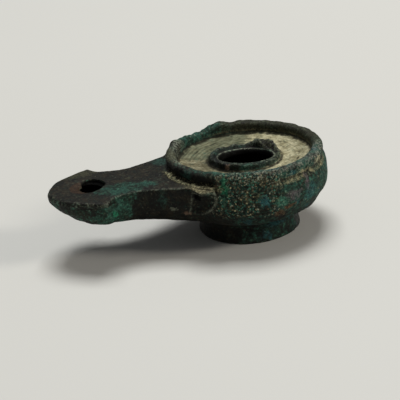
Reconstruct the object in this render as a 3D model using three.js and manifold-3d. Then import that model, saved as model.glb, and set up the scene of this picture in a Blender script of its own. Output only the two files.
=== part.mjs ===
// A Roman oil lamp of cast bronze: one hollow casting with a round bowl on a ring foot,
// a sunk disc inside a raised rim, a filling hole inside a low collar, and a long nozzle
// that ends in a leaf-shaped tip with the wick hole. Millimetres, +Z up. The nozzle points
// along -X, and the origin is under the middle of the lamp, on the surface it stands on.
import * as THREE from "three";
import { mergeVertices } from "three/addons/utils/BufferGeometryUtils.js";
import Module from "manifold-3d";

const wasm = await Module();
wasm.setup();

// ---- Driving dimensions ----
const RIM_R = 30; // outer radius of the rim, which scales the outline of the whole lamp
const BODY_R = 1.036 * RIM_R; // widest radius of the bowl
const NOZZLE_REACH = 2.53 * RIM_R; // from the bowl's axis to the tip of the nozzle
const AXIS_X = (NOZZLE_REACH - BODY_R) / 2; // the bowl's axis, with the lamp centred on X
const WALL = 2.5; // thickness of the casting

const SHOULDER_Z = 0.903 * RIM_R; // flat top of the nozzle and of the bowl's shoulder
const RIM_Z = 1.067 * RIM_R; // crest of the rim
const RIM_FOOT_R = 0.97 * RIM_R; // where the rim stands on the shoulder
const RIM_WIDTH = 4.2;
const RIM_ROUND = 1.8; // how far the rim's corners are rounded over

const DISC_EDGE_Z = 0.938 * RIM_R; // height of the sunk disc where it meets the rim
const DISC_DIP = 1.1; // how much lower it lies round the collar
const COLLAR_R = 0.46 * RIM_R;
const COLLAR_Z = 29.1; // mean height of the collar's crest
const COLLAR_LEAN = 0.85; // its crest rises by this towards the nozzle's near side, and falls opposite
const COLLAR_HIGH_SIDE = 210; // degrees round the axis from +X
const HOLE_R = 0.345 * RIM_R; // filling hole
const HOLE_OFF = 0.5; // bored this far off the axis, away from the nozzle

const FOOT_R = 0.652 * RIM_R;
const FOOT_Z = 0.27 * RIM_R; // where the foot meets the bowl
const FOOT_WIDTH = 3.8;
const RECESS_Z = 5; // depth of the hollow under the foot

// The scar of a lost handle stands a little proud of the bowl, opposite the nozzle.
const STUMP_PROUD = 0.5;
const STUMP_HALF_ANGLE = 15;
const STUMP_Z = 0.76 * RIM_R;
const STUMP_HALF_HEIGHT = 5;

// The broken stub on the back of the collar, where the lid's hinge sat.
const STUB_FROM = -10; // degrees round the axis
const STUB_TO = 66;
const STUB_RISE = 1.9;

const WAIST_U = 1.52 * RIM_R; // the neck's narrowest place, from the bowl's axis
const WAIST = 0.425 * RIM_R; // and half its width there
const ROOT_U = 0.6 * RIM_R; // the nozzle's root lies inside the bowl
const PLATE = 1.5; // thickness of the flat plate that tops the nozzle's tip
const GROOVE = 0.8; // how far that plate stands out over the hull below it
const LUG_DEPTH = 3.4; // height of the pointed lugs where the nozzle leaves the bowl
const LUG_U = 0.85 * RIM_R; // the lugs' points, along the nozzle
const LUG_REACH = 0.9 * RIM_R; // near lug, from the nozzle's middle line
const WORN_LUG_REACH = 0.8 * RIM_R; // far lug, worn shorter
const CORNER_U = 1.92 * RIM_R; // corners where the neck steps out to the tip
const CORNER_REACH = 0.67 * RIM_R; // near corner of the tip
const WORN_CORNER_REACH = 0.63 * RIM_R; // far corner
const WICK_U = 2.05 * RIM_R; // wick hole, along the nozzle from the bowl's axis
const WICK_OFF = 1.2; // and off the middle line, to the far side
const WICK_R = 5.9;

// The oil channel runs inside the nozzle from the reservoir to just short of the tip.
const CHANNEL_FROM = 0.8 * RIM_R;
const CHANNEL_TO = 2.36 * RIM_R;

// Facets.
const TURN_STEPS = 60; // round the bowl
const HOLE_STEPS = 36;
const CHANNEL_STEPS = 14;
const HALF_CORNERS = 11; // of half a section of the nozzle
const PLATE_CORNERS = 4; // those of them above the hull's oval
const CHANNEL_CORNERS = 8;

// ---- Helpers ----
const radians = THREE.MathUtils.degToRad;

// A smooth hump of the given height, centred on one angle of the turn (degrees).
function hump(angle, centre, halfWidth, height) {
  const away = THREE.MathUtils.euclideanModulo(angle - centre + 180, 360) - 180;
  return height * Math.exp(-((away / halfWidth) ** 2));
}

function solidOf(geometry) {
  const bare = geometry.index ? geometry.toNonIndexed() : geometry.clone();
  bare.deleteAttribute("normal");
  bare.deleteAttribute("uv");
  const merged = mergeVertices(bare, 1e-4);
  const mesh = new wasm.Mesh({
    numProp: 3,
    vertProperties: merged.attributes.position.array,
    triVerts: new Uint32Array(merged.index.array),
  });
  return new wasm.Manifold(mesh);
}

function geometryOf(solid) {
  const mesh = solid.getMesh();
  const geometry = new THREE.BufferGeometry();
  geometry.setAttribute("position", new THREE.BufferAttribute(mesh.vertProperties, 3));
  geometry.setIndex(new THREE.BufferAttribute(mesh.triVerts, 1));
  return geometry;
}

// Moves every vertex of a geometry by a rule that edits it in place.
function reshape(geometry, rule) {
  const at = geometry.attributes.position;
  const p = new THREE.Vector3();
  for (let i = 0; i < at.count; i++) {
    p.fromBufferAttribute(at, i);
    rule(p);
    at.setXYZ(i, p.x, p.y, p.z);
  }
  return geometry;
}

// A profile of (radius, height) turned about +Z. It starts and ends on the axis.
function turned(profile, steps) {
  const points = profile.getPoints(4);
  return new THREE.LatheGeometry(points, steps).rotateX(Math.PI / 2);
}

// The other coordinate of a path whose x only grows, at one x.
function pathAt(path, x) {
  let low = 0;
  let high = 1;
  for (let i = 0; i < 30; i++) {
    const middle = (low + high) / 2;
    if (path.getPoint(middle).x < x) low = middle;
    else high = middle;
  }
  return path.getPoint(low).y;
}

// ---- The bowl ----
function bowlOutside() {
  const recessR = FOOT_R - FOOT_WIDTH;
  const rimInnerR = RIM_R - RIM_WIDTH;
  const crestR = COLLAR_R - 0.7;
  const profile = new THREE.Path();
  profile.moveTo(0, RECESS_Z);
  profile.lineTo(recessR - 0.8, RECESS_Z);
  profile.lineTo(recessR, 0);
  profile.lineTo(FOOT_R - 0.3, 0);
  profile.lineTo(FOOT_R, 0.4);
  profile.quadraticCurveTo(FOOT_R - 1, FOOT_Z * 0.4, FOOT_R - 0.7, FOOT_Z);
  profile.splineThru([
    new THREE.Vector2(0.765 * RIM_R, 0.318 * RIM_R),
    new THREE.Vector2(0.885 * RIM_R, 0.37 * RIM_R),
    new THREE.Vector2(0.945 * RIM_R, 0.46 * RIM_R),
    new THREE.Vector2(1.02 * RIM_R, 0.57 * RIM_R),
  ]);
  profile.quadraticCurveTo(BODY_R, 0.6 * RIM_R, BODY_R, 0.72 * RIM_R);
  profile.quadraticCurveTo(BODY_R, SHOULDER_Z - 0.6, BODY_R - 1.4, SHOULDER_Z);
  profile.lineTo(RIM_FOOT_R, SHOULDER_Z);
  profile.lineTo(RIM_R, RIM_Z - RIM_ROUND);
  profile.quadraticCurveTo(RIM_R, RIM_Z, RIM_R - RIM_ROUND, RIM_Z);
  profile.lineTo(rimInnerR + RIM_ROUND, RIM_Z);
  profile.quadraticCurveTo(rimInnerR, RIM_Z, rimInnerR, RIM_Z - RIM_ROUND);
  profile.lineTo(rimInnerR - 0.2, DISC_EDGE_Z);
  profile.lineTo(COLLAR_R, DISC_EDGE_Z - DISC_DIP);
  profile.lineTo(crestR, COLLAR_Z);
  profile.lineTo(crestR - 1.2, COLLAR_Z);
  profile.lineTo(HOLE_R - 1, COLLAR_Z - 0.8);
  profile.lineTo(0, COLLAR_Z - 0.8);
  const rimMiddleR = RIM_R - RIM_WIDTH / 2;
  return reshape(turned(profile, TURN_STEPS), (p) => {
    const r = Math.hypot(p.x, p.y);
    const angle = THREE.MathUtils.radToDeg(Math.atan2(p.y, p.x));
    if (p.z > RIM_Z - 2 * RIM_ROUND && Math.abs(r - rimMiddleR) < RIM_WIDTH) {
      p.z += rimWear(angle);
    }
    if (p.z > COLLAR_Z - 1 && r < COLLAR_R && r > 0) {
      p.z += (COLLAR_LEAN * r * Math.cos(radians(angle - COLLAR_HIGH_SIDE))) / COLLAR_R;
    }
    if (r > BODY_R - 2) {
      const proud = Math.exp(-(((p.z - STUMP_Z) / STUMP_HALF_HEIGHT) ** 4));
      const stretch = 1 + (hump(angle, 0, STUMP_HALF_ANGLE, STUMP_PROUD) * proud) / r;
      p.x *= stretch;
      p.y *= stretch;
    }
  });
}

// The rim's crest: a worn, low stretch at the back beside the nozzle, then two crusty lumps.
function rimWear(angle) {
  return hump(angle, 113, 10, -1.1) + hump(angle, 93, 4, 0.8) + hump(angle, 76, 7, 0.4);
}

// The hollow that holds the oil, with the filling hole above it.
function reservoir() {
  const ceiling = DISC_EDGE_Z - DISC_DIP - 2.2;
  const innerR = BODY_R - WALL;
  const profile = new THREE.Path();
  profile.moveTo(0, RECESS_Z + WALL);
  profile.lineTo(0.5 * RIM_R, RECESS_Z + WALL);
  profile.quadraticCurveTo(0.84 * RIM_R, 0.4 * RIM_R, innerR - 1.2, 0.58 * RIM_R);
  profile.lineTo(innerR, 0.66 * RIM_R);
  profile.lineTo(innerR, ceiling - 2);
  profile.lineTo(innerR - 2, ceiling);
  profile.lineTo(0, ceiling);
  return turned(profile, HOLE_STEPS);
}

function fillingHole() {
  const height = 8;
  const bore = new THREE.CylinderGeometry(HOLE_R, HOLE_R, height, HOLE_STEPS);
  bore.rotateX(Math.PI / 2);
  bore.translate(HOLE_OFF, 0, COLLAR_Z - 1);
  return bore;
}

function hingeStub() {
  const outline = new THREE.Shape();
  outline.absarc(0, 0, COLLAR_R + 0.4, radians(STUB_FROM), radians(STUB_TO), false);
  outline.absarc(0, 0, HOLE_R + 0.9, radians(STUB_TO), radians(STUB_FROM), true);
  const floor = DISC_EDGE_Z - DISC_DIP - 1;
  const block = new THREE.ExtrudeGeometry(outline, {
    depth: COLLAR_Z - floor,
    curveSegments: 9,
    bevelEnabled: false,
  });
  block.translate(0, 0, floor);
  return reshape(block, (p) => {
    if (p.z < COLLAR_Z - 0.1) return;
    const angle = THREE.MathUtils.radToDeg(Math.atan2(p.y, p.x));
    p.z += hump(angle, 46, 13, STUB_RISE) + hump(angle, 24, 12, STUB_RISE * 0.75) - 1.2;
    const lean = 1 + hump(angle, 44, 20, 0.06);
    p.x *= lean;
    p.y *= lean;
  });
}

// ---- The nozzle ----
// Its outlines are drawn as (distance along the nozzle, half width or height).

// Plan of the flat top: lug, concave neck, corner, and a leaf-shaped tip.
function topEdge(lugReach, cornerReach) {
  const edge = new THREE.Path();
  edge.moveTo(ROOT_U, 0.8 * RIM_R);
  edge.quadraticCurveTo(0.72 * RIM_R, lugReach + 0.4, 0.8 * RIM_R, lugReach - 0.4);
  edge.quadraticCurveTo(LUG_U, lugReach - 2, LUG_U + 0.5, 0.7 * RIM_R);
  edge.quadraticCurveTo(0.9 * RIM_R, 0.62 * RIM_R, 0.97 * RIM_R, 0.6 * RIM_R);
  edge.bezierCurveTo(1.12 * RIM_R, 0.55 * RIM_R, 1.32 * RIM_R, WAIST, WAIST_U, WAIST);
  edge.quadraticCurveTo(1.68 * RIM_R, WAIST, 1.8 * RIM_R, 0.475 * RIM_R);
  edge.quadraticCurveTo(1.87 * RIM_R, 0.51 * RIM_R, CORNER_U, cornerReach);
  edge.lineTo(1.95 * RIM_R, cornerReach - 0.7);
  edge.bezierCurveTo(
    2.18 * RIM_R,
    0.54 * RIM_R,
    NOZZLE_REACH,
    0.34 * RIM_R,
    NOZZLE_REACH + 0.1,
    0,
  );
  return edge;
}

// Plan of the hull under that plate, without lugs or corners.
function hullEdge() {
  const edge = new THREE.Path();
  edge.moveTo(ROOT_U, 0.74 * RIM_R);
  edge.quadraticCurveTo(0.85 * RIM_R, 0.66 * RIM_R, 0.97 * RIM_R, 0.595 * RIM_R);
  edge.bezierCurveTo(1.12 * RIM_R, 0.55 * RIM_R, 1.32 * RIM_R, WAIST, WAIST_U, WAIST);
  edge.bezierCurveTo(1.75 * RIM_R, WAIST, 1.85 * RIM_R, 0.55 * RIM_R, 2.0 * RIM_R, 0.56 * RIM_R);
  edge.bezierCurveTo(
    2.2 * RIM_R,
    0.53 * RIM_R,
    NOZZLE_REACH - GROOVE,
    0.33 * RIM_R,
    NOZZLE_REACH,
    0,
  );
  return edge;
}

// Height of the nozzle's underside along its middle line.
function keel() {
  const line = new THREE.Path();
  line.moveTo(ROOT_U, 0.27 * RIM_R);
  line.quadraticCurveTo(1.15 * RIM_R, 0.36 * RIM_R, WAIST_U, 0.415 * RIM_R);
  line.quadraticCurveTo(1.8 * RIM_R, 0.435 * RIM_R, 2.0 * RIM_R, 0.475 * RIM_R);
  line.bezierCurveTo(
    2.25 * RIM_R,
    0.52 * RIM_R,
    2.48 * RIM_R,
    0.68 * RIM_R,
    NOZZLE_REACH + 0.1,
    SHOULDER_Z - PLATE,
  );
  return line;
}

// Skins a row of stations with a closed tube. place(u, k, side) gives the (width, height) of
// the k-th corner of a half section, counted from the middle of the top to the middle of
// the bottom, on the near side (+1) or the far side (-1).
function loft(stations, halfCorners, place) {
  const tube = new THREE.CylinderGeometry(1, 1, 1, 2 * halfCorners, stations.length - 1);
  return reshape(tube, (p) => {
    const u = stations[Math.round((0.5 - p.y) * (stations.length - 1))];
    const turn = THREE.MathUtils.euclideanModulo(Math.atan2(p.x, p.z), 2 * Math.PI);
    const corner = Math.round((turn * halfCorners) / Math.PI) % (2 * halfCorners);
    const side = corner <= halfCorners ? 1 : -1;
    const k = side > 0 ? corner : 2 * halfCorners - corner;
    if (Math.hypot(p.x, p.z) < 0.5) {
      const top = place(u, 0, 1);
      const bottom = place(u, halfCorners, 1);
      p.set(-u, 0, (top[1] + bottom[1]) / 2);
      return;
    }
    const [width, height] = place(u, k, side);
    p.set(-u, -side * width, height);
  });
}

// A quarter of an oval from (width, 0) down to (0, -depth), at share 0 to 1. Its power is 2
// for a round one, and more for a squarer one.
function oval(width, depth, power, share) {
  const turn = (share * Math.PI) / 2;
  const across = width * Math.cos(turn) ** (2 / power);
  const down = depth * Math.sin(turn) ** (2 / power);
  return [across, down];
}

function nozzleOutside() {
  const far = topEdge(WORN_LUG_REACH, WORN_CORNER_REACH);
  const near = topEdge(LUG_REACH, CORNER_REACH);
  const hull = hullEdge();
  const underside = keel();
  const stations = near.getPoints(5).map((p) => Math.min(p.x, NOZZLE_REACH));
  return loft(stations, HALF_CORNERS, (u, k, side) => {
    const edge = pathAt(side > 0 ? near : far, u);
    const width = Math.min(pathAt(hull, u), edge);
    const onBowl = THREE.MathUtils.smoothstep(u, LUG_U, 1.1 * RIM_R);
    const plate = THREE.MathUtils.lerp(LUG_DEPTH, PLATE, onBowl);
    const rootZ = SHOULDER_Z - plate - Math.min(edge - width, 1.2);
    const bottomZ = Math.min(pathAt(underside, u), rootZ - 0.2);
    if (k === 0) return [0, SHOULDER_Z];
    if (k === 1) return [edge / 2, SHOULDER_Z];
    if (k === 2) return [edge, SHOULDER_Z];
    if (k === 3) return [edge, SHOULDER_Z - plate];
    const share = (k - PLATE_CORNERS) / (HALF_CORNERS - PLATE_CORNERS);
    const power = 2.6 - 0.6 * THREE.MathUtils.smoothstep(u, CORNER_U, NOZZLE_REACH);
    const [across, down] = oval(width, rootZ - bottomZ, power, share);
    return [across, rootZ - down];
  });
}

function channel() {
  const hull = hullEdge();
  const underside = keel();
  const roofZ = SHOULDER_Z - 2.3;
  const length = CHANNEL_TO - CHANNEL_FROM;
  const stations = [];
  for (let i = 0; i <= CHANNEL_STEPS; i++) {
    stations.push(CHANNEL_FROM + (length * i) / CHANNEL_STEPS);
  }
  return loft(stations, CHANNEL_CORNERS, (u, k) => {
    const half = Math.min(pathAt(hull, u) - WALL, 0.5 * RIM_R);
    const floorZ = pathAt(underside, u) + WALL;
    if (k === 0) return [0, roofZ];
    if (k === 1) return [half - 1, roofZ];
    const share = (k - 2) / (CHANNEL_CORNERS - 2);
    const [across, down] = oval(half, roofZ - 1 - floorZ, 2.3, share);
    return [across, roofZ - 1 - down];
  });
}

function wickHole() {
  const depth = 8;
  const bore = new THREE.CylinderGeometry(WICK_R + 0.5, WICK_R - 0.4, depth, HOLE_STEPS);
  bore.rotateX(Math.PI / 2);
  bore.translate(-WICK_U, WICK_OFF, SHOULDER_Z + 1 - depth / 2);
  return bore;
}

// ---- The casting ----
function lampSolid() {
  let casting = solidOf(bowlOutside());
  casting = casting.add(solidOf(nozzleOutside()));
  casting = casting.add(solidOf(hingeStub()));
  for (const hollow of [reservoir(), fillingHole(), channel(), wickHole()]) {
    casting = casting.subtract(solidOf(hollow));
  }
  return casting;
}

const bronze = new THREE.MeshStandardMaterial({
  color: 0x2f4a3f,
  roughness: 0.8,
  metalness: 0.35,
});

const lamp = new THREE.Mesh(geometryOf(lampSolid()), bronze);
lamp.name = "lamp";
lamp.position.x = AXIS_X;

const group = new THREE.Group();
group.add(lamp);

export default group;
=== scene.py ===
"""A Roman bronze oil lamp, with its worn rim, earthy crust and green patina, on a plain floor.

The lamp is made from its own solid: the skin is drawn again as an even fine mesh, its edges
are eased, and then the turned rings, lips, chips, pits and crust are raised or sunk in it.
Lengths are millimetres inside the script, and the mesh is put back in metres at the end.
Points are taken from the bowl's axis: the nozzle runs along -X, its near side is -Y.
"""

import math

import bmesh
import bpy
import numpy as np
from mathutils import Matrix, Vector


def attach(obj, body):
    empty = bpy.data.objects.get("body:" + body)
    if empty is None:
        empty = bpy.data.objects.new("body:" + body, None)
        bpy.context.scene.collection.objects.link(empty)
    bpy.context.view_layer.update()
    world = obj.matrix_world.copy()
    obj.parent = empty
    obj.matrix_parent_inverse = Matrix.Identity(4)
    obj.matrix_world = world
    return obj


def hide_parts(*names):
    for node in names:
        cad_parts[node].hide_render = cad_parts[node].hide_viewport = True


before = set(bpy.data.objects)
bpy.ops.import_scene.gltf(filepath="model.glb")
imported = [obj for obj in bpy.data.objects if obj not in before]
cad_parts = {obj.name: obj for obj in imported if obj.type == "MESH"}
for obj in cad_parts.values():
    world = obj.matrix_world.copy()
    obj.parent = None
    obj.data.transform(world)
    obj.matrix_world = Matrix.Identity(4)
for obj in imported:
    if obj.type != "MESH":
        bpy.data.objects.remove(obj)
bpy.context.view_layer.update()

# ---- Sizes, as in the part's source ----
RIM_R = 30.0
BODY_R = 1.036 * RIM_R
NOZZLE_REACH = 2.53 * RIM_R
AXIS_X = (NOZZLE_REACH - BODY_R) / 2
SHOULDER_Z = 0.903 * RIM_R
RIM_WIDTH = 4.2
COLLAR_R = 0.46 * RIM_R
HOLE_R = 0.345 * RIM_R
HOLE_OFF = 0.5
RECESS_Z = 5.0
WICK_U = 2.05 * RIM_R
WICK_OFF = 1.2
WICK_R = 5.9
PLATE = 1.5
TURN_STEPS = 60

SKIN_GRID = 0.455  # spacing of the fine mesh
INNER_SHARE = 0.05  # share of the faces kept inside, where only a glimpse shows
MM = 1000.0

# ---- Relief on the casting ----
RING_PITCH = 1.5  # the disc's turned rings
RING_DEPTH = 0.06
WAVE_PITCH = 3.7  # and the broader waves under them
WAVE_DEPTH = 0.09
LIP_RISE = 0.4  # the thin lip round the filling hole
LIP_SUNK = 1.45  # how far it lies below the crest behind the hole
STUB_RAISED = 0.95
STUB_LEAN = 0.7
NICHE_DEPTH = 1.15  # under the near lug
RIB_RISE = 0.32
GROOVE_DEPTH = 0.3  # under the tip's plate
HULL_SWELL = 0.45
WICK_SLOPE = 2.4  # run of the wick hole's sloping side for each millimetre down


# ---- Small tools for arrays of points ----
def step(value, start, end):
    """0 before start, 1 after end, smooth between; start may be the larger one."""
    t = np.clip((value - start) / (end - start), 0, 1)
    return t * t * (3 - 2 * t)


def band(value, low, high, soft):
    return step(value, low - soft, low) * step(value, high + soft, high)


def hump(value, centre, half_width):
    return np.exp(-(((value - centre) / half_width) ** 2))


def turn_gap(angle, centre):
    """Degrees between an angle and a centre, from -180 to 180."""
    return (angle - centre + 180) % 360 - 180


class Grain:
    """Smooth random unevenness from -1 to 1, the same in every run."""

    def __init__(self, seed):
        self.lattice = np.random.default_rng(seed).uniform(-1, 1, (32, 32, 32))

    def at(self, points, size):
        q = points / size + 100.37
        cell = np.floor(q).astype(int)
        f = q - cell
        f = f * f * f * (f * (f * 6 - 15) + 10)
        total = np.zeros(len(points))
        for corner in range(8):
            pick = [(corner >> axis) & 1 for axis in range(3)]
            weight = np.ones(len(points))
            for axis in range(3):
                weight *= f[:, axis] if pick[axis] else 1 - f[:, axis]
            i, j, k = ((cell[:, axis] + pick[axis]) & 31 for axis in range(3))
            total += weight * self.lattice[i, j, k]
        return total

    def layers(self, points, size, count=3):
        total = np.zeros(len(points))
        for layer in range(count):
            total += self.at(points + 7.3 * layer, size / 2.03**layer) * 0.55**layer
        return total


class Skin:
    """The lamp's mesh as arrays: points from the bowl's axis in millimetres."""

    def __init__(self, mesh):
        self.mesh = mesh
        self.points = self.read("vertices", "co", 3) * MM - (AXIS_X, 0, 0)
        self.edges = self.read("edges", "vertices", 2, np.int32)

    def read(self, what, name, width, kind=np.float32):
        items = getattr(self.mesh, what)
        values = np.empty(len(items) * width, kind)
        items.foreach_get(name, values)
        values = values.reshape(-1, width)
        return values if kind is np.int32 else values.astype(float)

    def write(self):
        metres = (self.points + (AXIS_X, 0, 0)) / MM
        self.mesh.vertices.foreach_set("co", metres.astype(np.float32).ravel())
        self.mesh.update()

    def normals(self):
        self.write()
        return self.read("vertices", "normal", 3)

    def eased(self, points, amount, times):
        """Points moved towards the middle of their neighbours."""
        a, b = self.edges.T
        count = len(points)
        degree = np.maximum(np.bincount(self.edges.ravel(), minlength=count), 1)
        points = points.copy()
        for _ in range(times):
            middle = np.empty_like(points)
            for axis in range(3):
                sums = np.bincount(a, points[b, axis], count)
                sums += np.bincount(b, points[a, axis], count)
                middle[:, axis] = sums / degree
            points += np.reshape(amount, (-1, 1)) * (middle - points)
        return points

    def keep(self, name, values):
        attribute = self.mesh.attributes.new(name, "FLOAT", "POINT")
        attribute.data.foreach_set("value", values.astype(np.float32))


# ---- The casting ----
def new_object(name, mesh):
    made = bpy.data.objects.new(name, mesh)
    bpy.context.scene.collection.objects.link(made)
    return made


def with_modifier(piece, kind, **settings):
    """The piece's mesh after one modifier, as a plain mesh."""
    modifier = piece.modifiers.new(kind, kind)
    for key, value in settings.items():
        setattr(modifier, key, value)
    shaped = piece.evaluated_get(bpy.context.evaluated_depsgraph_get())
    mesh = bpy.data.meshes.new_from_object(shaped)
    piece.modifiers.clear()
    piece.data = mesh
    return piece


def fine_casting():
    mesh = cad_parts["lamp"].data.copy()
    mesh.materials.clear()
    whole = bmesh.new()
    whole.from_mesh(mesh)
    bmesh.ops.remove_doubles(whole, verts=whole.verts, dist=2e-6)
    whole.to_mesh(mesh)
    whole.free()
    casting = new_object("lamp_casting", mesh)
    return with_modifier(
        casting, "REMESH", mode="VOXEL", voxel_size=SKIN_GRID / MM, use_smooth_shade=True
    )


def inside_mask(skin):
    """True for points on the walls of the reservoir and of the oil channel."""
    x, y, z = skin.points.T
    n = skin.normals()
    r = np.hypot(x, y)
    bowl = (r < BODY_R - 1.2) & (z > RECESS_Z + 0.8) & (z < 26.2) & (x > -26)
    facing_in = n[:, 0] * x + n[:, 1] * y + n[:, 2] * (z - 17) < 0
    channel = (x < -24) & (z < SHOULDER_Z - 1.7) & (x > -73)
    middle = 18.5 + 5 * step(-x, 55, 75)
    facing_middle = n[:, 1] * y + n[:, 2] * (z - middle) + n[:, 0] * (x + 50) * 0.1 < 0
    return (bowl & facing_in) | (channel & facing_middle)


def thin_out_inside(casting):
    """Fewer faces inside the hollow."""
    skin = Skin(casting.data)
    inside = inside_mask(skin)
    inside &= np.hypot(skin.points[:, 0] - HOLE_OFF, skin.points[:, 1]) > HOLE_R - 2
    bpy.context.view_layer.objects.active = casting
    casting.select_set(True)
    bpy.ops.object.mode_set(mode="EDIT")
    bpy.ops.mesh.select_mode(type="VERT")
    bpy.ops.mesh.select_all(action="DESELECT")
    bpy.ops.object.mode_set(mode="OBJECT")
    casting.data.vertices.foreach_set("select", inside)
    bpy.ops.object.mode_set(mode="EDIT")
    bpy.ops.mesh.decimate(ratio=INNER_SHARE)
    bpy.ops.object.mode_set(mode="OBJECT")
    return casting


def round_and_ease(skin, outside):
    """Makes the turned bowl truly round, and softens the corners between the solid's facets."""
    x, y, z = skin.points.T
    r = np.hypot(x, y)
    facet = 360 / TURN_STEPS
    off = np.radians((np.degrees(np.arctan2(y, x)) % facet) - facet / 2)
    on_bowl = outside * ((x > -24) | (r < RIM_R + 0.3))
    stretch = 1 + on_bowl * (np.cos(off) / math.cos(math.radians(facet / 2)) - 1)
    skin.points[:, 0] *= stretch
    skin.points[:, 1] *= stretch
    skin.points = skin.eased(skin.points, 0.5 * outside, 3)
    on_wall = outside * band(z, 9, 26, 1) * step(r, 20, 22) * step(x, -30, -18)
    skin.points = skin.eased(skin.points, 0.5 * on_wall, 14)


class Surface:
    """The lamp's skin while it is worked: where each point is, and what is done to it there."""

    def __init__(self, skin):
        self.points = skin.points.copy()
        self.normals = skin.normals()
        self.x, self.y, self.z = self.points.T
        self.r = np.hypot(self.x, self.y)
        self.angle = np.degrees(np.arctan2(self.y, self.x))
        self.bore = np.hypot(self.x - HOLE_OFF, self.y)
        self.wick_x, self.wick_y = self.x + WICK_U, self.y - WICK_OFF
        self.wick = np.hypot(self.wick_x, self.wick_y)
        self.towards_tip = step(-self.wick_x / np.maximum(self.wick, 0.1), -0.1, 0.55)
        self.top = step(self.normals[:, 2], 0.5, 0.9)
        self.wide, self.middle, self.fine = Grain(3), Grain(5), Grain(8)
        self.lift = np.zeros(len(self.x))  # along the normal
        self.raised = np.zeros((len(self.x), 3))  # in a given direction
        self.ridge = np.zeros(len(self.x))  # pale lines
        self.crust = np.zeros(len(self.x))  # 0 on bare metal to 1 under thick crust

    def turn(self, centre, low, high, soft):
        """1 in a sector of the turn round the bowl, in degrees from its centre."""
        return band(turn_gap(self.angle, centre), low, high, soft)

    def swell(self, centre, half_width):
        return hump(turn_gap(self.angle, centre), 0, half_width)

    def push_out(self, amount):
        """Moves points away from the bowl's axis."""
        self.raised[:, 0] += amount * self.x / self.r
        self.raised[:, 1] += amount * self.y / self.r


def corroded_metal(s):
    s.lift += 0.16 * s.wide.layers(s.points, 7, 2)
    s.lift += 0.07 * s.middle.layers(s.points, 2.4, 2)


def sunk_disc(s):
    """Turned rings, and a low crust of earth."""
    on_disc = band(s.r, COLLAR_R + 0.3, RIM_R - RIM_WIDTH - 0.6, 0.5) * step(s.z, 29.4, 28.8) * s.top
    wander = s.r + 0.35 * s.wide.at(s.points, 6)
    faint = 0.5 + 0.5 * s.middle.at(s.points, 4)
    s.raised[:, 2] += on_disc * RING_DEPTH * faint * np.sin(2 * math.pi * wander / RING_PITCH)
    s.raised[:, 2] += on_disc * WAVE_DEPTH * np.sin(2 * math.pi * wander / WAVE_PITCH + 1)
    s.raised[:, 2] += on_disc * 0.25 * np.maximum(s.wide.layers(s.points, 5, 3), -0.3)


def collar(s):
    """A thin lip round the hole, a lumpy worn crest, and the stub of the lid's hinge."""
    high = step(s.z, 27.4, 28.3) * step(s.r, COLLAR_R + 1.2, COLLAR_R + 0.4)
    lip = high * hump(s.bore, HOLE_R + 0.45, 0.42) * s.top
    lip *= 1 - step(s.z, 28.3, 28.7) * s.turn(32, -38, 38, 6)
    behind = 0.5 + 0.5 * np.cos(np.radians(s.angle - 75))
    sunk = step(s.bore, HOLE_R + 2.3, HOLE_R + 0.9) * step(s.z, 25.0, 27.8) * step(s.r, 7, 8)
    s.raised[:, 2] += LIP_RISE * lip - LIP_SUNK * behind * sunk
    s.ridge = np.maximum(s.ridge, lip * (0.12 + 0.7 * behind))

    crest = high * step(s.bore, HOLE_R + 0.9, HOLE_R + 1.6)
    s.raised[:, 2] += crest * (0.36 * s.middle.layers(s.points, 2.6, 3) + 0.05)
    s.lift += 0.22 * high * step(s.bore, HOLE_R + 1.4, HOLE_R + 2.2) * s.fine.layers(s.points, 2.1, 2)

    stub = high * step(s.z, 28.4, 29.4) * step(s.bore, HOLE_R + 0.6, HOLE_R + 1.5)
    tall = s.turn(45, -14, 13, 4) + 0.75 * s.turn(10, -14, 16, 5)
    s.raised[:, 2] += stub * (STUB_RAISED * tall + 0.4 * tall * s.fine.layers(s.points, 2.2, 3))
    outer = stub * tall * step(s.r, 12.6, 13.6)
    s.push_out(STUB_LEAN * outer)


def rim(s):
    """Worn and uneven, and chipped at the back beside the nozzle."""
    on_rim = band(s.r, RIM_R - RIM_WIDTH - 0.3, RIM_R + 0.6, 0.5) * step(s.z, 29.2, 30.6)
    s.raised[:, 2] += on_rim * (0.24 * s.wide.layers(s.points, 4.2, 3) + 0.2)
    s.raised[:, 2] += on_rim * 0.12 * s.turn(82, -14, 14, 10)
    chips = on_rim * s.swell(106, 26)
    s.raised[:, 2] += chips * 0.45 * s.middle.layers(s.points, 2.6, 3)
    s.raised[:, 2] += on_rim * (0.85 * s.swell(144, 6) + 0.5 * s.swell(97, 11))


def front_fill(s):
    """Crust fills the shoulder in front, so the rim runs down into the bowl there."""
    fill_to = BODY_R + 0.05 - 0.75 * step(s.z, 25, 30.8)
    gap = np.clip(fill_to - s.r, 0, 1.8) * band(s.z, 25.2, 30.3, 0.8) * step(s.r, 28.4, 28.9)
    s.push_out(0.9 * s.turn(-104, -22, 19, 6) * gap)


def front_crust(s):
    """Grains over the front wall, thinner towards the right."""
    on_front = s.turn(-100, -28, 70, 10) * step(s.r, 28, 29.5) * step(s.z, 12, 16)
    grain = np.maximum(s.fine.layers(s.points, 1.5, 3), -0.5)
    heavy = s.turn(-106, -24, 20, 8)
    s.crust = np.maximum(s.crust, on_front * (0.35 + 0.65 * heavy))
    s.lift += on_front * (0.08 + 0.16 * heavy) * grain


def earth_at_rim(s):
    """Earth packed against the rim's foot on the nozzle's top."""
    at_foot = band(s.r, 29.4, 31.2, 0.9) * band(s.z, SHOULDER_Z - 0.6, SHOULDER_Z + 0.9, 0.5)
    at_foot *= s.turn(-158, -16, 32, 8)
    s.raised[:, 2] += at_foot * (0.5 + 0.25 * s.fine.layers(s.points, 1.5, 2))
    s.crust = np.maximum(s.crust, at_foot)


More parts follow.
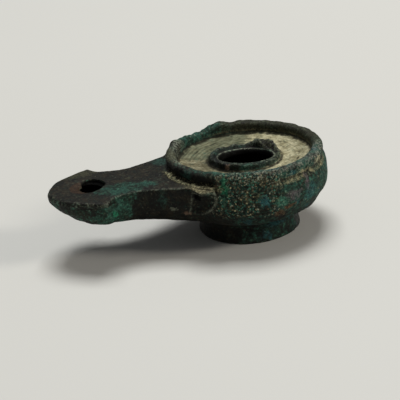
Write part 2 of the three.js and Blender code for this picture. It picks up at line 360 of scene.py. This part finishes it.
def near_lug(s):
    """A thin ledge above a scooped niche with two raised edges."""
    u = -s.x
    near = step(-s.y, 12, 15)
    flush = np.maximum(np.sqrt(np.clip(31.05**2 - u**2, 0, None)), 19.9 - 0.49 * (u - 25))
    under_lug = near * band(s.z, 21, 25.0, 0.45) * band(u, 17.5, 30.5, 0.6)
    s.raised[:, 1] += np.clip(-s.y - flush, 0, 8) * under_lug

    left_edge = -26.2 - 0.14 * (24.9 - s.z)
    right_edge = -18.9 - 0.08 * (s.z - 23.4) ** 2
    across = (s.x - left_edge) / np.maximum(right_edge - left_edge, 1)
    side = near * step(s.r, 29.5, 30.3) * (s.z < 26.8) * step(s.r, 37.5, 36.5)
    scoop = np.sin(math.pi * np.clip(across, 0, 1)) ** 0.8 * band(s.z, 18.0, 24.8, 1.8)
    s.lift -= NICHE_DEPTH * side * scoop
    length = side * band(s.z, 16.5, 26.0, 0.8)
    ribs = length * (0.5 * hump(s.x, left_edge, 0.36) + hump(s.x, right_edge, 0.5))
    s.lift += RIB_RISE * ribs
    s.ridge = np.maximum(s.ridge, ribs)


def tip_plate(s, outside):
    """A groove under the plate that tops the tip, and a fuller hull below it."""
    u = -s.x
    upright = np.abs(s.normals[:, 2])
    at_tip = step(u, 52, 55) * outside
    groove = at_tip * band(s.z, SHOULDER_Z - PLATE - 1.0, SHOULDER_Z - PLATE - 0.1, 0.35)
    s.lift -= GROOVE_DEPTH * groove * step(upright, 0.8, 0.5) * step(u, 70, 64)
    below = at_tip * band(s.z, 22.0, 25.7, 1.2) * step(u, 63, 70) * step(upright, 0.9, 0.6)
    s.lift += HULL_SWELL * below


def wick_hole(s):
    """The hole's wall slopes on the side towards the tip, and its rim is worn low there."""
    depth = np.clip(SHOULDER_Z - s.z, 0, 4)
    wall = step(s.wick, WICK_R + 0.95, WICK_R + 0.5) * step(s.wick, 4.0, 4.6) * step(s.z, 23.9, 24.6)
    slide = -WICK_SLOPE * depth * s.towards_tip * wall
    far_right = step((s.wick_x + 0.6 * s.wick_y) / np.maximum(s.wick, 0.1), 0.5, 1.05)
    wider = step(s.wick, WICK_R + 1.6, WICK_R + 0.4) * step(s.wick, 4.4, 5) * step(s.z, 20, 22)
    slide += 0.9 * far_right * wider
    s.raised[:, 0] += slide * s.wick_x / np.maximum(s.wick, 0.1)
    s.raised[:, 1] += slide * s.wick_y / np.maximum(s.wick, 0.1)
    worn_rim = hump(s.wick, WICK_R + 0.6, 1.2) * s.top * step(s.z, 26, 26.6)
    s.raised[:, 2] -= 0.35 * worn_rim * s.towards_tip


def neck_pits(s):
    for pit_x, pit_y, size, deep in PITS:
        away = np.hypot(s.x - pit_x, s.y - pit_y)
        s.raised[:, 2] -= deep * step(away, size * 1.5, size * 0.3) * s.top * step(s.z, 26, 26.6)


def relief(casting):
    """Raises and sinks everything that time and the maker left on the surface."""
    skin = Skin(casting.data)
    inside = inside_mask(skin)
    outside = 1.0 - inside
    round_and_ease(skin, outside)

    s = Surface(skin)
    corroded_metal(s)
    sunk_disc(s)
    collar(s)
    rim(s)
    front_fill(s)
    front_crust(s)
    earth_at_rim(s)
    near_lug(s)
    tip_plate(s, outside)
    wick_hole(s)
    neck_pits(s)
    skin.points += outside[:, None] * (s.lift[:, None] * s.normals + s.raised)
    skin.points[:, 2] = np.maximum(skin.points[:, 2], 0)

    smooth = skin.eased(skin.points, 0.5 * outside, 10)
    worn = np.einsum("ij,ij->i", skin.points - smooth, skin.normals())
    skin.write()
    height = skin.points[:, 2]
    # the inside and the holes' walls, which the finish paints black as shade
    down_hole = (s.bore < HOLE_R + 0.35) & (height < 28.0)
    down_wick = (s.wick < WICK_R + 0.3) & (height < 26.7) & (s.towards_tip < 0.5)
    skin.keep("hollow", (inside | down_hole | down_wick).astype(float))
    skin.keep("edge", np.clip(0.5 + worn * 1.6, 0, 1))
    skin.keep("ridge", np.clip(s.ridge, 0, 1))
    skin.keep("crust", np.clip(s.crust, 0, 1))
    return casting


PITS = [
    (-37.7, 4.7, 0.9, 0.5),
    (-34.2, -0.5, 0.8, 0.4),
    (-44.0, 1.8, 0.9, 0.5),
]


# ---- The finish ----
class Wire:
    """A shader socket that takes part in sums as a number does."""

    def __init__(self, finish, socket):
        self.finish = finish
        self.socket = socket

    def sum(self, operation, *values):
        inputs = dict(enumerate(values))
        return self.finish.node("Math", {"operation": operation}, inputs)

    def __add__(self, other):
        return self.sum("ADD", self, other)

    def __radd__(self, other):
        return self.sum("ADD", other, self)

    def __sub__(self, other):
        return self.sum("SUBTRACT", self, other)

    def __rsub__(self, other):
        return self.sum("SUBTRACT", other, self)

    def __mul__(self, other):
        return self.sum("MULTIPLY", self, other)

    def __rmul__(self, other):
        return self.sum("MULTIPLY", other, self)


class Finish:
    """One material, built from its nodes."""

    def __init__(self, name):
        self.material = bpy.data.materials.new(name)
        self.material.use_nodes = True
        self.tree = self.material.node_tree
        self.tree.nodes.clear()

    def node(self, kind, settings=(), inputs=(), output=0):
        """A new node: one of its outputs, or all of them where output is None."""
        made = self.tree.nodes.new("ShaderNode" + kind)
        for key, value in dict(settings).items():
            if key == "stops":
                self.set_stops(made.color_ramp, value)
            else:
                setattr(made, key, value)
        for key, value in dict(inputs).items():
            if isinstance(value, Wire):
                self.tree.links.new(value.socket, made.inputs[key])
            else:
                made.inputs[key].default_value = value
        if output is None:
            return [Wire(self, socket) for socket in made.outputs]
        return Wire(self, made.outputs[output])

    def set_stops(self, ramp, stops):
        ramp.interpolation = "CONSTANT"
        while len(ramp.elements) < len(stops):
            ramp.elements.new(1.0)
        for element, (share, shade) in zip(ramp.elements, stops):
            element.position = share
            element.color = shade

    def vector(self, operation, a, b):
        slot = "Scale" if operation == "SCALE" else 1
        return self.node("VectorMath", {"operation": operation}, {0: a, slot: b})

    def length(self, a):
        return self.node("VectorMath", {"operation": "LENGTH"}, {0: a}, 1)

    def shaded(self, tone, factor):
        """A colour made lighter or darker."""
        return self.vector("SCALE", tone if isinstance(tone, Wire) else tone[:3], factor)

    def mix(self, share, a, b):
        settings = {"data_type": "RGBA", "clamp_factor": True}
        return self.node("Mix", settings, {0: share, 6: a, 7: b}, 2)

    def rise(self, value, start, end, low=0.0, high=1.0):
        inputs = {0: value, 1: start, 2: end, 3: low, 4: high}
        return self.node("MapRange", {"interpolation_type": "SMOOTHSTEP"}, inputs)

    def between(self, value, low, high, soft):
        return self.rise(value, low - soft, low) * self.rise(value, high + soft, high)

    def most(self, a, b):
        return self.node("Math", {"operation": "MAXIMUM"}, {0: a, 1: b})

    def least(self, a, b):
        return self.node("Math", {"operation": "MINIMUM"}, {0: a, 1: b})

    def noise(self, where, size, detail=3.0, rough=0.55, output=0):
        inputs = {"Vector": where, "Scale": 1 / size, "Detail": detail, "Roughness": rough}
        return self.node("TexNoise", {}, inputs, output)

    def cells(self, where, size):
        """Grains of one size: the distance from a grain's middle, and its own colour."""
        inputs = {"Vector": where, "Scale": 1 / size, "Randomness": 1.0}
        return self.node("TexVoronoi", {}, inputs, None)[:2]


def colour(red, green, blue):
    return (red, green, blue, 1.0)


BARE = colour(0.006, 0.0055, 0.004)  # dark brown-black bronze
BROWN = colour(0.034, 0.025, 0.013)
OLIVE = colour(0.060, 0.060, 0.032)
DEEP_GREEN = colour(0.012, 0.026, 0.018)
TEAL = colour(0.026, 0.078, 0.057)
MALACHITE = colour(0.050, 0.165, 0.110)
EMERALD = colour(0.015, 0.17, 0.085)
BLUE_TEAL = colour(0.022, 0.090, 0.095)
GREY_LIME = colour(0.24, 0.26, 0.19)
EARTH = colour(0.31, 0.275, 0.155)
CREAM = colour(0.42, 0.385, 0.245)
CLAY = colour(0.30, 0.18, 0.12)
RUST = colour(0.13, 0.055, 0.022)
MAUVE = colour(0.10, 0.078, 0.085)
DUN = colour(0.115, 0.10, 0.055)
ASH = colour(0.095, 0.082, 0.07)
STAIN = colour(0.10, 0.112, 0.066)
DARK_STAIN = colour(0.05, 0.062, 0.038)
# painted shade: a black for the inside walls
PAINTED_HOLLOW_SHADE = colour(0.003, 0.003, 0.002)  # inside, where no light reaches

GRAIN_SIZE = 0.62  # of the crust


class Patina(Finish):
    """The lamp's corroded bronze, with painted shade and a painted highlight: each method lays one more
    coat over the colour it is given.
    """

    def __init__(self):
        super().__init__("bronze_patina_and_painted_light")
        metres = self.node("TexCoord", output=3)
        self.here = self.vector("SUBTRACT", self.vector("SCALE", metres, MM), (AXIS_X, 0, 0))
        self.sway = self.wobble(3.0, 5, 0.75)
        self.astray = self.vector("ADD", self.here, self.vector("SCALE", self.sway, 7.5))
        drift = self.vector("SCALE", self.wobble(8.0, 4, 0.6), 16.0)
        adrift = self.vector("ADD", self.astray, drift)

        self.x, y, self.z = self.node("SeparateXYZ", {}, {0: self.here}, None)
        self.loose_x, loose_y = self.node("SeparateXYZ", {}, {0: adrift}, None)[:2]
        self.up = self.node("SeparateXYZ", {}, {0: self.node("NewGeometry", output=1)}, None)[2]
        self.r = self.node("Math", {"operation": "SQRT"}, {0: self.x * self.x + y * y})
        radians = self.node("Math", {"operation": "ARCTAN2"}, {0: loose_y, 1: self.loose_x})
        self.angle = radians * (180 / math.pi)
        self.edge, self.ridge, self.crust, self.hollow = (
            self.node("Attribute", {"attribute_name": name}, output=2)
            for name in ("edge", "ridge", "crust", "hollow")
        )

        self.wide = self.noise(self.here, 9.0, 3, 0.55)
        self.blotch = self.noise(self.here, 3.2, 4, 0.62)
        self.speck = self.noise(self.here, 0.85, 3, 0.65)
        self.fleck = self.noise(self.vector("ADD", self.here, (31.0, 17.0, 5.0)), 1.0, 5, 0.8)
        self.ragged = self.blotch * 0.4 + self.fleck * 0.6
        self.top = self.rise(self.up, 0.55, 0.85)

        bowl = self.rise(self.x, -28.0, -20.0)
        under_rim = self.rise(self.z, SHOULDER_Z + 4.5, SHOULDER_Z + 3.0)
        self.front = self.sector(-75, 50, 30) * bowl
        # the bowl's left: painted shade here, and thinner green
        self.left_shade_and_thin_green = self.sector(-160, 22, 30) * bowl * under_rim
        # the neck's sides: painted shade here, and thinner green
        self.neck_side = self.between(self.loose_x, -45.0, -26.0, 4.0) * self.rise(self.up, 0.6, 0.3)
        self.low_belly = self.rise(self.z, 18.5, 14.0) * bowl
        # the nozzle's top: painted shade here, and less green
        self.nozzle_top = self.top * self.rise(self.r, 30.5, 32.0)

    def wobble(self, size, detail, rough):
        """A random offset of up to half a unit each way."""
        return self.vector("SUBTRACT", self.noise(self.here, size, detail, rough, 1), (0.5, 0.5, 0.5))

    def patch(self, centre, reach, soft=0.45):
        """1 inside an oval round a centre, with a ragged outline."""
        apart = self.vector("SUBTRACT", self.astray, centre)
        scaled = self.vector("MULTIPLY", apart, tuple(1 / v for v in reach))
        return self.rise(self.length(scaled), 1 + soft, 1 - soft)

    def sector(self, centre, half, soft):
        """1 in a sector of the turn round the bowl, angles in degrees."""
        inputs = {0: self.angle - centre, 1: 180.0, 2: -180.0}
        wrapped = self.node("Math", {"operation": "WRAP"}, inputs)
        away = self.node("Math", {"operation": "ABSOLUTE"}, {0: wrapped})
        return self.rise(away, half + soft, half)

    def bare_metal(self):
        """Dark bronze, brown in places."""
        tone = self.mix(self.rise(self.blotch, 0.44, 0.7), BARE, BROWN)
        greenish = self.rise(self.noise(self.here, 1.7, 4, 0.7), 0.5, 0.72)
        tone = self.mix(greenish * 0.7, tone, DEEP_GREEN)
        return self.mix(self.top * self.rise(self.speck, 0.45, 0.7) * 0.7, tone, BROWN)

    def greened(self, tone):
        """Green patina: more on the front and right of the bowl, on the tip's side and on the
        nozzle's near strip, and little on the neck and on the left of the bowl."""
        near_strip = self.patch((-49.0, -7.5, 27.0), (13.0, 5.5, 3.0))
        tip_side = self.patch((-54.0, -13.5, 21.0), (7.0, 5.0, 5.0))
        back_left = self.patch((-12.0, 22.5, 29.5), (16.0, 8.0, 4.5))
        lean = 0.02 + 0.13 * self.front - 0.18 * self.left_shade_and_thin_green - 0.2 * self.neck_side
        lean = lean + 0.26 * near_strip + 0.22 * tip_side + 0.24 * back_left
        lean = lean - 0.08 * self.low_belly - 0.13 * self.nozzle_top
        self.green = self.rise(self.blotch * 0.55 + self.fleck * 0.45 + lean, 0.49, 0.64)
        hue = self.mix(self.rise(self.noise(self.here, 4.2, 3, 0.6), 0.42, 0.64), DEEP_GREEN, TEAL)
        hue = self.mix(self.rise(self.noise(self.here, 1.3, 4, 0.75), 0.5, 0.7), hue, MALACHITE)
        bluer = self.rise(self.noise(self.here, 5.5, 3, 0.6), 0.55, 0.7) * self.front
        hue = self.mix(bluer, hue, BLUE_TEAL)
        return self.mix(self.green, tone, hue)

    def crusted(self, tone):
        """Grains of many colours with dark gaps between them."""
        swayed = self.vector("ADD", self.here, self.vector("SCALE", self.sway, 1.6))
        self.gap, own = self.cells(swayed, GRAIN_SIZE)
        pick, shade = self.node("SeparateXYZ", {}, {0: own}, None)[:2]
        grain = self.node("ValToRGB", {"stops": GRAINS}, {0: pick})
        grain = self.shaded(grain, self.rise(self.gap, 0.8, 0.2, 0.4, 1.1) * (0.6 + 0.9 * shade))
        on_bowl = 0.34 * self.between(self.r, RIM_R - 1.5, BODY_R + 2.5, 1.0)
        on_bowl = on_bowl * self.rise(self.z, 10.0, 13.0)
        self.grainy = self.most(self.crust, self.most(on_bowl, 0.16))
        here_grains = self.rise(self.fleck + 0.12 * self.crust, 0.42, 0.6)
        tone = self.mix(self.grainy * here_grains * 0.9, tone, grain)
        loam = self.rise(self.noise(self.here, 2.4, 4, 0.7), 0.5, 0.62) * self.crust
        loam = loam * self.sector(-108, 22, 14) * self.rise(self.z, 18.0, 26.0)
        return self.mix(loam * self.rise(self.speck, 0.4, 0.6) * 0.55, tone, DUN)

    def earth_on_disc(self, tone):
        """Tan earth on the sunk disc, in rings, greener at the back left."""
        disc = self.between(self.r, COLLAR_R + 0.2, RIM_R - RIM_WIDTH + 0.2, 0.7)
        self.disc = disc * self.rise(self.z, 29.6, 28.6) * self.rise(self.up, 0.3, 0.7)
        turns = (self.r + 0.9 * self.blotch) * (2 * math.pi / RING_PITCH)
        self.rings = self.node("Math", {"operation": "SINE"}, {0: turns})
        soil = self.mix(self.rise(self.blotch, 0.35, 0.65), EARTH, CREAM)
        dark_rings = self.rise(self.rings, 0.1, 1.0) * self.rise(self.wide, 0.35, 0.6)
        soil = self.mix(dark_rings * 0.25, soil, OLIVE)
        soil = self.mix(self.rise(self.speck, 0.5, 0.7) * 0.6, soil, OLIVE)
        stained = self.mix(self.rise(self.rings, -0.6, 0.9), STAIN, DARK_STAIN)
        soil = self.mix(self.sector(114, 42, 12) * 0.8, soil, stained)
        soil = self.mix(self.rise(self.noise(self.here, 2.0, 4, 0.65), 0.56, 0.7) * 0.6, soil, TEAL)
        # the earth turns to a darker olive in the corners next to the collar and the rim
        by_collar = self.rise(self.r, COLLAR_R + 1.8, COLLAR_R + 0.2)
        near_walls = self.most(by_collar, self.rise(self.r, 24.4, 25.6))
        soil = self.mix(near_walls * self.rise(self.speck, 0.35, 0.55) * 0.75, soil, OLIVE)
        soil = self.mix(self.rise(self.noise(self.here, 4.5, 4, 0.6), 0.5, 0.66) * 0.4, soil, DUN)
        soil = self.shaded(soil, self.rise(self.blotch, 0.36, 0.64, 0.85, 1.2))
        cover = self.rise(self.blotch * 0.5 + self.speck * 0.5, 0.2, 0.42)
        return self.mix(self.disc * (0.6 + 0.4 * cover), tone, soil)

    def sooty_collar(self, tone):
        """The collar is dark, with some olive on its right."""
        collar = self.between(self.r, HOLE_R + 0.6, COLLAR_R + 0.5, 0.5) * self.rise(self.z, 27.4, 27.9)
        greener = self.mix(self.rise(self.x, 2.0, 11.0), DEEP_GREEN, OLIVE)
        sooty = self.mix(self.rise(self.fleck, 0.42, 0.62), BARE, greener)
        return self.mix(collar * 0.8, tone, sooty)

    def on_rim(self, tone):
        """Pale speckle on the front right, brown at the back right, painted shade on the outer wall at
        the left, and a painted highlight on the inner rounding at the left.
        """
        on = self.rise(self.r, RIM_R - RIM_WIDTH - 0.6, RIM_R - RIM_WIDTH)
        on = on * self.rise(self.z, 28.6, 29.2)
        tone = self.mix(on * self.sector(35, 50, 20) * 0.75, tone, self.mix(self.fleck, BARE, OLIVE))
        speckle = self.sector(-70, 42, 20) * self.rise(self.fleck, 0.52, 0.62)
        tone = self.mix(on * speckle * 0.6, tone, GREY_LIME)
        crest = on * self.rise(self.z, 30.4, 31.2) * self.sector(-58, 32, 12)
        tone = self.mix(crest * self.rise(self.fleck, 0.42, 0.6) * 0.6, tone, ASH)
        inner_foot = on * self.rise(self.r, 26.6, 26.0) * self.rise(self.z, 30.2, 29.4)
        inner_foot = inner_foot * self.sector(45, 55, 15) * self.rise(self.speck, 0.35, 0.6)
        tone = self.mix(inner_foot * 0.75, tone, DUN)
        # painted shade on the rim's outer wall at the left
        outer_left_shade = on * self.rise(self.r, 28.6, 29.3) * self.sector(-172, 34, 16)
        tone = self.mix(outer_left_shade * 0.75, tone, BARE)
        # painted highlight on the rim's inner rounding at the left
        rounding = on * self.sector(168, 22, 14) * self.rise(self.r, 28.8, 27.6)
        return self.mix(rounding * self.rise(self.fleck, 0.4, 0.6) * 0.5, tone, GREY_LIME)

    def earthed(self, tone):
        """Earth against the rim's foot, on the lug, on the shoulder at the right and in ridges."""
        dust = self.mix(self.rise(self.speck, 0.4, 0.62), OLIVE, EARTH)
        dust = self.shaded(dust, self.rise(self.fleck, 0.35, 0.65, 0.6, 1.45))
        packed = self.between(self.r, 29.6, 31.4, 1.3) * self.between(self.z, 26.4, 28.2, 0.6)
        self.packed = packed * self.sector(-150, 26, 10) * self.rise(self.ragged, 0.36, 0.54)
        tone = self.mix(self.packed * 0.9, tone, dust)
        lug_top = self.patch((-23.0, -22.0, 27.2), (5.5, 5.0, 1.6))
        self.lug_top = lug_top * self.rise(self.up, 0.3, 0.7)
        lug_earth = self.shaded(EARTH, self.rise(self.fleck, 0.35, 0.65, 0.45, 1.2))
        tone = self.mix(self.lug_top * 0.95, tone, lug_earth)
        ledge = self.between(self.z, 26.6, 28.0, 0.9) * self.sector(-50, 24, 14)
        ledge = ledge * self.rise(self.r, 28.0, 28.8) * self.rise(self.ragged, 0.42, 0.58)
        tone = self.mix(ledge * 0.7, tone, EARTH)
        return self.mix(self.ridge * self.rise(self.fleck, 0.36, 0.52) * 0.8, tone, GREY_LIME)

    def patched(self, tone):
        """Single patches that catch the eye."""
        for centre, reach, shade_of, strength in PATCHES:
            mask = self.patch(centre, reach) * self.rise(self.fleck, 0.34, 0.5) * strength
            tone = self.mix(mask, tone, shade_of)
        return tone

    def worn(self, tone):
        """Arrises are lighter and hollows darker, and the wick hole's slope is rusty."""
        rubbed = self.rise(self.edge, 0.6, 0.9) * self.rise(self.ragged, 0.44, 0.6)
        tone = self.mix(rubbed * 0.4, tone, GREY_LIME)
        tone = self.mix(self.rise(self.edge, 0.46, 0.28) * 0.8, tone, BARE)
        from_wick = self.vector("ADD", self.here, (WICK_U, -WICK_OFF, 0))
        wick = self.length(self.vector("MULTIPLY", from_wick, (1, 1, 0)))
        slope = self.rise(wick, WICK_R + 0.9, WICK_R + 0.2) * self.rise(self.x, -61.0, -64.0)
        slope = slope * self.rise(self.z, 27.3, 26.9) * self.rise(self.up, 0.1, 0.3)
        return self.mix(slope * 0.92, tone, self.shaded(self.mix(self.speck, BROWN, RUST), 0.5))

    def shadowed(self, tone):
        """Fine mottling over everything but the disc, painted shade on the bowl's left, the neck's
        sides and the nozzle's top, and painted black shade in the hollow.
        """
        mottle = self.rise(self.fleck, 0.33, 0.67, 0.42, 1.6)
        tone = self.shaded(tone, mottle * (1 - 0.7 * self.disc) + 0.7 * self.disc)
        # painted shade: the bowl's left and the neck's sides are darkened; the bowl is also made darker
        # towards its bottom
        dim = 1 - 0.5 * self.left_shade_and_thin_green - 0.45 * self.neck_side
        dim = dim - 0.3 * self.low_belly * (1 - self.left_shade_and_thin_green)
        # painted shade on the nozzle's top
        tone = self.shaded(tone, dim * (1 - 0.3 * self.nozzle_top))
        # painted shade: the hollow is painted black
        return self.mix(self.hollow, tone, PAINTED_HOLLOW_SHADE)

    def roughness(self):
        earthy = self.most(self.disc, self.most(self.packed, self.lug_top))
        green = 0.22 * self.most(self.green, self.grainy)
        return self.least(0.60 + green + 0.35 * earthy, 0.97)

    def grain_bump(self):
        """The finest unevenness, gentler on the disc."""
        grit = self.rise(self.gap, 0.7, 0.1) * self.crust
        height = 0.7 * self.noise(self.here, 0.5, 4, 0.7) * (0.4 + 0.6 * self.crust)
        height = height + 0.6 * self.fleck + 0.5 * grit
        height = height * (1 - 0.6 * self.disc) + 0.1 * self.rings * self.disc
        return self.node("Bump", {}, {"Strength": 0.7, "Distance": 0.0004, "Height": height})


def bronze_patina_and_painted_light():
    f = Patina()
    tone = f.bare_metal()
    for coat in (
        f.greened,
        f.crusted,
        f.earth_on_disc,
        f.sooty_collar,
        f.on_rim,
        f.earthed,
        f.patched,
        f.worn,
        f.shadowed,
    ):
        tone = coat(tone)
    values = {
        "Base Color": tone,
        "Roughness": f.roughness(),
        "Normal": f.grain_bump(),
        "Specular IOR Level": 0.16,
    }
    surface = f.node("BsdfPrincipled", {}, values)
    f.node("OutputMaterial", {}, {"Surface": surface}, None)
    return f.material


GRAINS = [
    (0.00, BARE),
    (0.20, DEEP_GREEN),
    (0.38, TEAL),
    (0.54, MALACHITE),
    (0.64, BROWN),
    (0.74, OLIVE),
    (0.84, DUN),
    (0.91, GREY_LIME),
    (0.965, EARTH),
]
PATCHES = [
    ((-15.5, -26.3, 28.0), (1.0, 2.5, 3.6), EMERALD, 0.85),  # streak down the front
    ((-16.5, -25.8, 22.5), (1.2, 2.5, 2.2), MALACHITE, 0.5),
    ((-17.6, -23.8, 28.6), (1.4, 1.6, 0.7), CLAY, 0.7),
    ((-2.4, -31.0, 21.3), (1.9, 2.0, 2.4), BLUE_TEAL, 0.8),
    ((-2.9, -30.6, 17.4), (2.2, 2.5, 1.7), BARE, 0.9),
    ((4.3, -30.7, 20.4), (2.6, 2.0, 1.7), MALACHITE, 0.6),
    ((8.0, -29.8, 17.6), (2.6, 2.0, 1.0), RUST, 0.65),
    ((3.8, -29.0, 15.0), (2.4, 2.0, 1.4), RUST, 0.5),
    ((15.7, -26.5, 25.2), (0.9, 2.5, 3.8), MAUVE, 0.8),
    ((9.9, -29.5, 21.4), (3.4, 2.5, 1.8), MAUVE, 0.6),
    ((17.5, -25.5, 20.0), (3.4, 3.0, 3.2), BLUE_TEAL, 0.5),
    ((23.1, -18.9, 29.4), (2.6, 3.0, 1.3), CREAM, 0.7),  # right shoulder
    ((15.5, -25.6, 28.4), (2.6, 2.5, 0.8), EARTH, 0.7),
    ((5.7, -18.0, 6.9), (4.5, 3.0, 1.6), BLUE_TEAL, 0.7),  # foot
    ((17.0, -9.0, 3.5), (4.0, 4.0, 4.0), MAUVE, 0.4),
    ((-33.1, -15.4, 18.7), (0.8, 1.5, 0.7), GREY_LIME, 0.6),  # under the neck
    ((-28.4, -16.9, 16.8), (1.3, 2.0, 1.3), CLAY, 0.6),
    ((-36.3, -14.9, 22.6), (1.1, 2.0, 3.6), TEAL, 0.7),
    ((-54.6, -13.8, 20.0), (1.6, 2.0, 1.3), EMERALD, 0.75),
    ((-45.0, 1.7, 27.1), (1.6, 1.1, 1.0), OLIVE, 0.9),  # neck's top
    ((-30.2, 12.4, 27.1), (3.4, 4.0, 1.5), TEAL, 0.7),
    ((-62.9, 14.5, 27.1), (7.5, 3.4, 1.5), OLIVE, 0.8),
    ((-26.6, -13.7, 30.0), (2.6, 2.5, 1.4), TEAL, 0.7),  # rim, above the nozzle
    ((-28.0, 6.0, 32.0), (3.0, 8.0, 1.5), OLIVE, 0.7),
    ((-9.5, -9.3, 29.3), (1.3, 1.3, 1.0), CLAY, 0.6),  # collar
    ((-3.6, -12.8, 29.4), (1.8, 1.2, 1.0), TEAL, 0.8),
    ((-11.2, 8.0, 28.4), (2.6, 3.4, 1.6), TEAL, 0.7),
]


def floor_finish():
    f = Finish("plain_floor")
    metres = f.node("TexCoord", output=3)
    shade = f.mix(f.noise(metres, 0.6, 2, 0.5), colour(0.62, 0.60, 0.55), colour(0.66, 0.65, 0.61))
    surface = f.node("BsdfPrincipled", {}, {"Base Color": shade, "Roughness": 0.9})
    f.node("OutputMaterial", {}, {"Surface": surface}, None)
    return f.material


# ---- Floor, light and camera ----
def studio():
    side = 2.5
    corners = [(-side, -side, 0), (side, -side, 0), (side, side, 0), (-side, side, 0)]
    mesh = bpy.data.meshes.new("floor")
    mesh.from_pydata(corners, [], [(0, 1, 2, 3)])
    floor = new_object("floor", mesh)
    mesh.materials.append(floor_finish())

    lamps = [
        ("window", (0.2, 0.5, 1.9), 0.9, 33, (0.97, 0.99, 1.0)),
        ("right_fill", (1.4, -0.9, 0.95), 0.4, 14, (1.0, 0.95, 0.88)),
    ]
    for name, place, size, watts, tint in lamps:
        light = bpy.data.lights.new(name, "AREA")
        light.size = size
        light.energy = watts
        light.color = tint
        made = bpy.data.objects.new(name, light)
        bpy.context.scene.collection.objects.link(made)
        made.location = place
        made.rotation_euler = (-Vector(place)).to_track_quat("-Z", "Y").to_euler()

    world = bpy.data.worlds.new("room")
    world.use_nodes = True
    back = world.node_tree.nodes["Background"]
    back.inputs[0].default_value = colour(0.93, 0.96, 1.0)
    back.inputs[1].default_value = 0.145
    bpy.context.scene.world = world
    bpy.context.scene.view_settings.view_transform = "Standard"


CAMERA_AT = (-0.1198, -0.5145, 0.2318)
CAMERA_TURN = -13.479  # degrees from +Y, to the right
CAMERA_TILT = -22.404  # down
CAMERA_ROLL = -5.343


def camera():
    lens = bpy.data.cameras.new("camera")
    lens.lens = 135
    lens.sensor_width = 36
    lens.clip_start = 0.01
    made = bpy.data.objects.new("camera", lens)
    bpy.context.scene.collection.objects.link(made)
    turn = Matrix.Rotation(math.radians(CAMERA_TURN), 4, "Z")
    tilt = Matrix.Rotation(math.radians(90 + CAMERA_TILT), 4, "X")
    roll = Matrix.Rotation(math.radians(CAMERA_ROLL), 4, "Z")
    made.matrix_world = Matrix.Translation(CAMERA_AT) @ turn @ tilt @ roll
    bpy.context.scene.camera = made


# ---- Everything in place ----
def lamp():
    piece = relief(thin_out_inside(fine_casting()))
    piece.name = "lamp_bronze"
    piece.data.materials.append(bronze_patina_and_painted_light())
    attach(piece, "root")
    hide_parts("lamp")


lamp()
studio()
camera()
